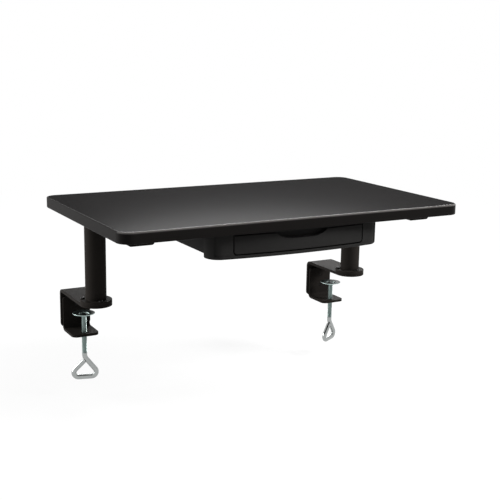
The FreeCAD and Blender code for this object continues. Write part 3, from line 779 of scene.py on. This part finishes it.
def place_bracket_bolts(node, finish, sides):
    """Put socket bolts in place of a clamp's plain ones; their heads face away from the user."""
    boxes = solid_boxes(node)
    low, high = boxes[0]
    radius = (high.x - low.x) / 2
    height = radius / 2
    length = high.y - low.y - height
    places = []
    for low, high in boxes:
        middle = (low + high) / 2
        places.append((Vector((middle.x, high.y - height, middle.z)), Vector((0, 1, 0))))
    copy_screws(bracket_bolt(radius, height, length, sides), places, node, finish)


def thread_piece(place, crest, pitch, top, bottom, sides):
    """Threaded rod: one pitch of the profile wound up the axis, cut flat at both ends."""
    root = crest - THREAD_DEPTH * pitch
    profile = [
        (root, 0.0), (crest, CREST_START * pitch), (crest, CREST_END * pitch),
        (root, ROOT_START * pitch), (root, pitch),
    ]
    start = Vector((place.x, place.y, bottom - pitch))
    rod = line_piece("thread", start, profile)
    bpy.ops.object.mode_set(mode="OBJECT")
    turns = math.ceil((top - bottom) / pitch) + 2
    use_modifier(rod, "SCREW", {
        "axis": "Z", "angle": math.tau, "screw_offset": pitch, "iterations": turns,
        "steps": sides, "render_steps": sides, "use_merge_vertices": True,
        "merge_threshold": MERGE_DISTANCE})
    for height, side in ((bottom, "clear_inner"), (top, "clear_outer")):
        edit_all()
        bpy.ops.mesh.bisect(plane_co=(place.x, place.y, height), plane_no=(0, 0, 1),
                            use_fill=True, **{side: True})
        bpy.ops.object.mode_set(mode="OBJECT")
    edit_all()
    close_up()
    return rod


def bent_rod(radius, corners, bends, sides):
    """Round rod down along runs and bends: a ring extruded along each run and spun round each bend."""
    bpy.ops.object.select_all(action="DESELECT")
    narrow = radius - ROD_TAPER
    bpy.ops.mesh.primitive_circle_add(vertices=sides, radius=narrow, location=corners[0])
    rod = bpy.context.object
    edit_all()
    last = corners[0] - Vector((0, 0, ROD_TAPER))
    bpy.ops.mesh.extrude_region_move(TRANSFORM_OT_translate={"value": last - corners[0]})
    grow = radius / narrow
    bpy.ops.transform.resize(value=(grow, grow, 1.0), center_override=last)
    for before, corner, after, bend in zip(corners, corners[1:], corners[2:], bends):
        back = (before - corner).normalized()
        ahead = (after - corner).normalized()
        half = back.angle(ahead) / 2
        start = corner + back * (bend / math.tan(half))
        centre = corner + (back + ahead).normalized() * (bend / math.sin(half))
        bpy.ops.mesh.extrude_region_move(TRANSFORM_OT_translate={"value": start - last})
        turn = math.pi - 2 * half
        steps = max(LEAST_BEND_STEPS, round(turn / BEND_STEP))
        bpy.ops.mesh.spin(steps=steps, angle=turn, center=centre, axis=back.cross(ahead))
        last = corner + ahead * (bend / math.tan(half))
    bpy.ops.mesh.extrude_region_move(TRANSFORM_OT_translate={"value": corners[-1] - last})
    bpy.ops.mesh.select_all(action="SELECT")
    bpy.ops.mesh.remove_doubles(threshold=MERGE_DISTANCE)
    bpy.ops.mesh.select_all(action="DESELECT")
    bpy.ops.mesh.select_non_manifold()
    bpy.ops.mesh.edge_face_add()
    close_up()
    return rod


def clamp_screw(side, settings):
    """Threaded clamp screw with its riveted tip and its bent loop handle."""
    pad_low, pad_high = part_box(side + "_pressure_pad")
    axis = Vector(((pad_low.x + pad_high.x) / 2, (pad_low.y + pad_high.y) / 2, 0.0))
    shoulder = Vector((axis.x, axis.y, pad_low.z - SHOULDER_GAP))
    bend = shoulder - Vector((0, 0, ROD_LENGTH))
    angle = math.radians(HANDLE_ANGLES[side])
    along = Vector((math.cos(angle), math.sin(angle), 0.0))
    drop = Vector((0, 0, settings.handle_drop))
    right = bend + along * settings.handle_right_reach - drop
    left = bend - along * settings.handle_left_reach - drop
    apex = bend + (right - bend).normalized() * settings.handle_apex_drop
    end = apex + (left - apex).normalized() * (ROD_RADIUS + settings.handle_end_gap)
    start = bend + Vector((0, 0, settings.thread_end))
    bends = [settings.handle_bend_radius, settings.handle_corner_radius, settings.handle_corner_radius]
    sides = settings.rod_sides
    handle = bent_rod(ROD_RADIUS, [start, bend, right, left, end], bends, sides)
    thread = thread_piece(axis, ROD_RADIUS, settings.thread_pitch, shoulder.z, start.z, sides)
    profile = [(radius * MM, height * MM) for radius, height in RIVET_PROFILE]
    rivet = spun_piece("rivet", shoulder, profile, sides)
    pieces = [settle(piece) for piece in (handle, thread, rivet)]
    return join_pieces(side + "_clamp_screw_detail", pieces)


def pressure_pad(side, sides):
    """Pressed pad of one sheet: a dish round a cup-shaped hub with a hole for the screw's tip."""
    node = side + "_pressure_pad"
    low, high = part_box(node)
    rim = (high.x - low.x) / 2
    height = high.z - low.z
    sheet = 1.2 * MM
    hole = 3.08 * MM
    hub = 10.0 * MM
    step = 2.0 * MM
    profile = [
        (hole, 0.0), (hub, 0.0), (hub, step - sheet / 2), (rim, height - sheet), (rim, height),
        (hub - sheet, step + sheet / 2), (hub - sheet, sheet), (hole, sheet), (hole, 0.0)]
    place = Vector(((low.x + high.x) / 2, (low.y + high.y) / 2, low.z))
    pad = spun_piece(node + "_detail", place, profile, sides * 2)
    soften(pad, SMALL_SOFTENING)
    return settle(pad)


def bezel_back_rib():
    """Moulded rib that closes the bezel's back between its floor and the housing's floor."""
    wall = 3.0 * MM
    overlap = 0.3 * MM
    tray_gap = 1.0 * MM
    softening = 0.5 * MM
    bezel_low, bezel_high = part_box("drawer_bezel")
    tray_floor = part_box("drawer_tray")[0].z
    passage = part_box("left_runner")[0].x
    low = Vector((passage, bezel_high.y - wall, bezel_low.z + wall - overlap))
    high = Vector((-passage, bezel_high.y, tray_floor - tray_gap))
    bpy.ops.object.select_all(action="DESELECT")
    bpy.ops.mesh.primitive_cube_add(size=1.0, location=(low + high) / 2, scale=high - low)
    rib = bpy.context.object
    rib.name = "bezel_back_rib"
    bpy.ops.object.transform_apply(location=True, rotation=False, scale=True)
    soften(rib, softening)
    return settle(rib)


class SHELF_OT_finish_board(bpy.types.Operator):
    """Finish the board and its edge band"""

    bl_idname = "shelf.finish_board"
    bl_label = "Finish Board"

    def execute(self, context):
        settings = context.scene.shelf_finish
        paint("board_core", laminate_material(settings))
        paint("edge_band", band_material(settings))
        return {"FINISHED"}


class SHELF_OT_finish_frame(bpy.types.Operator):
    """Finish the arms, posts, flanges and brackets"""

    bl_idname = "shelf.finish_frame"
    bl_label = "Finish Frame"

    def execute(self, context):
        settings = context.scene.shelf_finish
        coat = powder_coat_material(settings, "powder_coat", tone=1.0, gloss=0.008)
        # Painted shade: the brackets get a darker copy of the powder coat for the shade they sit in
        # under the board and posts.
        bracket_coat_painted_shade = powder_coat_material(settings, "bracket_coat_painted_shade", tone=0.8, gloss=0.012)
        bolt_finish = zinc_material(settings, "bolt_zinc", tone=0.8, scratch=BOLT_SCRATCHES)
        steel = rolled_steel_material()
        for side in SIDES:
            for name in ("support_arm", "post_tube", "foot_flange"):
                paint(side + "_" + name, coat)
            for name in ("upper_bracket", "lower_bracket"):
                paint(side + "_" + name, bracket_coat_painted_shade)
            paint(side + "_post_bolt", bolt_finish)
            paint(side + "_post_plug", steel)
            paint(side + "_runner", steel)
        return {"FINISHED"}


class SHELF_OT_finish_drawer_unit(bpy.types.Operator):
    """Finish the mouldings of the drawer unit"""

    bl_idname = "shelf.finish_drawer_unit"
    bl_label = "Finish Drawer Unit"

    def execute(self, context):
        settings = context.scene.shelf_finish
        bezel_finish = moulding_material(settings, "bezel_plastic", tone=1.12, rougher=0.0)
        paint("drawer_bezel", bezel_finish)
        rib = bezel_back_rib()
        rib.data.materials.append(bezel_finish)
        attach(rib, frame["nodes"]["drawer_bezel"]["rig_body"])
        paint("drawer_front", moulding_material(settings, "front_plastic", tone=1.0, rougher=0.0))
        paint("drawer_housing", moulding_material(settings, "housing_plastic", tone=0.9, rougher=0.08))
        paint("drawer_tray", moulding_material(settings, "tray_plastic", tone=1.3, rougher=-0.05))
        rail = moulding_material(settings, "rail_plastic", tone=1.6, rougher=-0.12)
        for side in SIDES:
            paint(side + "_slide_rail", rail)
        hidden = zinc_material(settings, "screw_zinc", tone=0.85, scratch=EVEN_SCRATCHES)
        paint("bezel_screws", hidden)
        paint("runner_screws", hidden)
        return {"FINISHED"}


class SHELF_OT_add_screws(bpy.types.Operator):
    """Put recessed screws and socket bolts in place of the plain ones"""

    bl_idname = "shelf.add_screws"
    bl_label = "Add Screws"

    def execute(self, context):
        settings = context.scene.shelf_finish
        sides = context.scene.shelf_screws.rod_sides
        black = black_screw_material(settings)
        zinc = zinc_material(settings, "wood_screw_zinc", tone=0.9, scratch=EVEN_SCRATCHES)
        place_screws("housing_screws", (0, 0, 1), zinc, sides)
        place_screws("front_screws", (0, -1, 0), zinc, sides)
        place_screws("slide_screws", (1, 0, 0), zinc, sides)
        for side in SIDES:
            place_screws(side + "_flange_screws", (0, 0, -1), black, sides)
            place_screws(side + "_arm_screws", (0, 0, 1), zinc, sides)
            place_bracket_bolts(side + "_bracket_bolts", black, sides)
        return {"FINISHED"}


class SHELF_OT_add_clamps(bpy.types.Operator):
    """Make the threaded clamp screws, their loop handles and the pressure pads"""

    bl_idname = "shelf.add_clamps"
    bl_label = "Add Clamp Screws"

    def execute(self, context):
        settings = context.scene.shelf_finish
        screws = context.scene.shelf_screws
        rod_finish = zinc_material(
            settings, "rod_zinc", tone=1.0, scratch=ROD_SCRATCHES,
            painted_shade=above_pad_seat, rubbed=handle_grip)
        # The pads' zinc is lighter than the rods', partly as a brighter plate on the pads and partly as
        # a painted highlight on their rims.
        pad_finish = zinc_material(
            settings, "pad_zinc", tone=1.7, scratch=PAD_SCRATCHES, painted_shade=inside_dish)
        for side in SIDES:
            dress(clamp_screw(side, screws), side + "_clamp_screw", rod_finish)
            dress(pressure_pad(side, screws.rod_sides), side + "_pressure_pad", pad_finish)
        return {"FINISHED"}


def seen_rays(start):
    """1 for what the camera, gloss and glass see, and 0 for what lights the shelf."""
    seen = start.node("ShaderNodeLightPath", output="Is Camera Ray")
    glossy = start.node("ShaderNodeLightPath", output="Is Glossy Ray")
    through = start.node("ShaderNodeLightPath", output="Is Transmission Ray")
    return start.math("MINIMUM", seen + glossy + through, 1.0)


def floor_material():
    """Pale floor that keeps the shelf's shadow and fades to plain white further out."""
    made = bpy.data.materials.new("studio_floor")
    made.use_nodes = True
    tree = made.node_tree
    tree.nodes.clear()
    start = Value(tree)
    matt = start.node("ShaderNodeBsdfDiffuse", inputs={"Color": FLOOR_GREY})
    faint = start.node("ShaderNodeBsdfDiffuse", inputs={"Color": SEEN_FLOOR_GREY})
    glow = start.node("ShaderNodeEmission", inputs={"Color": WHITE, "Strength": SEEN_FLOOR_GLOW})
    near = start.node("ShaderNodeAddShader", inputs={0: faint, 1: glow})
    far = start.node("ShaderNodeEmission", inputs={"Color": WHITE, "Strength": 1.0})
    place = start.node("ShaderNodeTexCoord", output="Object")
    distance = place.node("ShaderNodeVectorMath", {"operation": "LENGTH"}, {0: place}, "Value")
    fade = between(distance, FLOOR_FADE_START, FLOOR_FADE_END, 0.0, 1.0)
    shown = start.node("ShaderNodeMixShader", inputs={0: fade, 1: near, 2: far})
    surface = start.node("ShaderNodeMixShader", inputs={0: seen_rays(start), 1: matt, 2: shown})
    start.node("ShaderNodeOutputMaterial", inputs={"Surface": surface}, output=None)
    return made


class SHELF_OT_add_studio(bpy.types.Operator):
    """Add the floor, the world, the lamps and the camera"""

    bl_idname = "shelf.add_studio"
    bl_label = "Add Studio"

    def execute(self, context):
        studio = context.scene.shelf_studio
        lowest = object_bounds()[0][2]
        bpy.ops.object.select_all(action="DESELECT")
        bpy.ops.mesh.primitive_plane_add(
            size=studio.floor_width, location=(0, 0, lowest - studio.floor_drop))
        floor = bpy.context.object
        floor.name = "studio_floor"
        bpy.ops.object.transform_apply(location=True, rotation=True, scale=True)
        floor.data.materials.append(floor_material())
        floor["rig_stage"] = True
        self.light_world(context.scene, studio.sky_strength)
        self.add_lamp("left_lamp", studio.left_power)
        self.add_lamp("high_lamp", studio.high_power)
        self.add_lamp("rear_lamp", studio.rear_power)
        self.add_camera(context.scene, studio)
        context.scene.view_settings.view_transform = "Standard"
        return {"FINISHED"}

    def light_world(self, scene, strength):
        """Even light from all round, white where the camera, gloss or glass sees it."""
        world = bpy.data.worlds.new("studio_world")
        scene.world = world
        world.use_nodes = True
        tree = world.node_tree
        tree.nodes.clear()
        start = Value(tree)
        level = seen_rays(start) * (1.0 - strength) + strength
        sky = start.node("ShaderNodeBackground", inputs={"Color": WHITE, "Strength": level})
        start.node("ShaderNodeOutputWorld", inputs={"Surface": sky}, output=None)

    def add_lamp(self, name, power):
        """Oval lamp from the table of lamps, out of the camera's sight."""
        place, target, size, in_gloss = LAMPS[name]
        data = bpy.data.lights.new(name, "AREA")
        data.shape = "ELLIPSE"
        data.size, data.size_y = size
        data.energy = power
        lamp = bpy.data.objects.new(name, data)
        bpy.context.scene.collection.objects.link(lamp)
        lamp.visible_camera = False
        lamp.visible_glossy = in_gloss
        aim = (Vector(target) - Vector(place)).to_track_quat("-Z", "Y").to_matrix().to_4x4()
        lamp.matrix_world = Matrix.Translation(place) @ aim

    def add_camera(self, scene, studio):
        """Camera at the viewing angle of the photograph."""
        data = bpy.data.cameras.new("camera")
        data.lens = studio.camera_lens
        data.clip_end = CAMERA_REACH
        camera = bpy.data.objects.new("camera", data)
        scene.collection.objects.link(camera)
        turn = Matrix.Rotation(-studio.camera_turn, 4, "Z")
        pitch = Matrix.Rotation(math.pi / 2 - studio.camera_pitch, 4, "X")
        roll = Matrix.Rotation(studio.camera_roll, 4, "Z")
        camera.matrix_world = Matrix.Translation(studio.camera_place) @ turn @ pitch @ roll
        scene.camera = camera


class SHELF_PT_panel(bpy.types.Panel):
    """Sidebar panel with the shelf's steps and settings"""

    bl_idname = "SHELF_PT_panel"
    bl_label = "Clamp-on Shelf"
    bl_space_type = "VIEW_3D"
    bl_region_type = "UI"
    bl_category = "Shelf"

    def draw(self, context):
        for step in STEPS:
            self.layout.operator(step.bl_idname)
        for name, group in SETTINGS.items():
            box = self.layout.box()
            for setting in group.__annotations__:
                box.prop(getattr(context.scene, name), setting)


SETTINGS = {
    "shelf_finish": FinishSettings,
    "shelf_screws": ScrewSettings,
    "shelf_studio": StudioSettings,
}
STEPS = (
    SHELF_OT_finish_board,
    SHELF_OT_finish_frame,
    SHELF_OT_finish_drawer_unit,
    SHELF_OT_add_screws,
    SHELF_OT_add_clamps,
    SHELF_OT_add_studio,
)


def register():
    for name, group in SETTINGS.items():
        bpy.utils.register_class(group)
        setattr(bpy.types.Scene, name, bpy.props.PointerProperty(type=group))
    for step in STEPS:
        bpy.utils.register_class(step)
    bpy.utils.register_class(SHELF_PT_panel)


def unregister():
    bpy.utils.unregister_class(SHELF_PT_panel)
    for step in reversed(STEPS):
        bpy.utils.unregister_class(step)
    for name, group in reversed(SETTINGS.items()):
        delattr(bpy.types.Scene, name)
        bpy.utils.unregister_class(group)


def main():
    """Register the add-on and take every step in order."""
    register()
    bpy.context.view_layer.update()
    bpy.ops.shelf.finish_board()
    bpy.ops.shelf.finish_frame()
    bpy.ops.shelf.finish_drawer_unit()
    bpy.ops.shelf.add_screws()
    bpy.ops.shelf.add_clamps()
    bpy.ops.shelf.add_studio()


if __name__ == "__main__":
    main()
